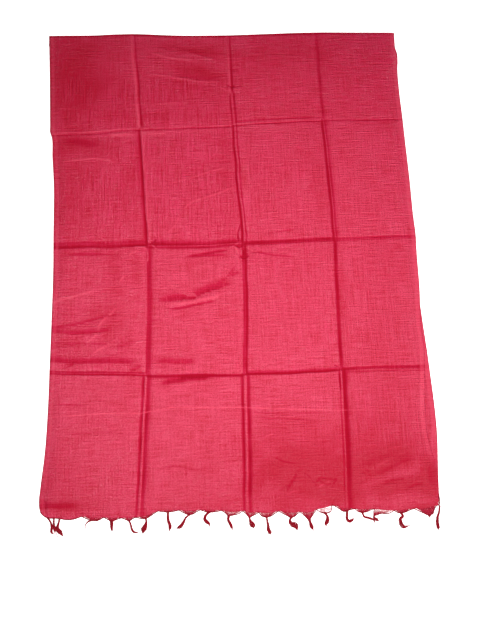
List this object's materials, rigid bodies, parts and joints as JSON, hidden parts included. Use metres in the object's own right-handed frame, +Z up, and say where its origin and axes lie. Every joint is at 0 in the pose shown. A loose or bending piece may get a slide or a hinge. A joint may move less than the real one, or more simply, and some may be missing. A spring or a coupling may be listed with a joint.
{
  "type": "dupatta stole",
  "caption": "Handloom stole of one woven length, folded once across and laid flat, with packing creases and knotted tassels at its two ends.",
  "frame": {"origin": "on the resting plane, under the middle of the folded stole with its tassels", "axes": "+Z up from the surface it lies on, +Y along the length towards the folded edge, +X across the width"},
  "size_m": [0.7236, 1.017, 0.0088],
  "materials": {
    "cloth_upper": "soft silky plain weave with slubs, rose",
    "cloth_lower": "soft silky plain weave with slubs, rose",
    "thread_front": "twisted warp ends, crimson",
    "thread_back": "twisted warp ends, crimson"
  },
  "bodies": {
    "root": {"front_half": "cloth_upper", "back_half": "cloth_lower", "front_fringe": "thread_front", "back_fringe": "thread_back"}
  },
  "joints": []
}
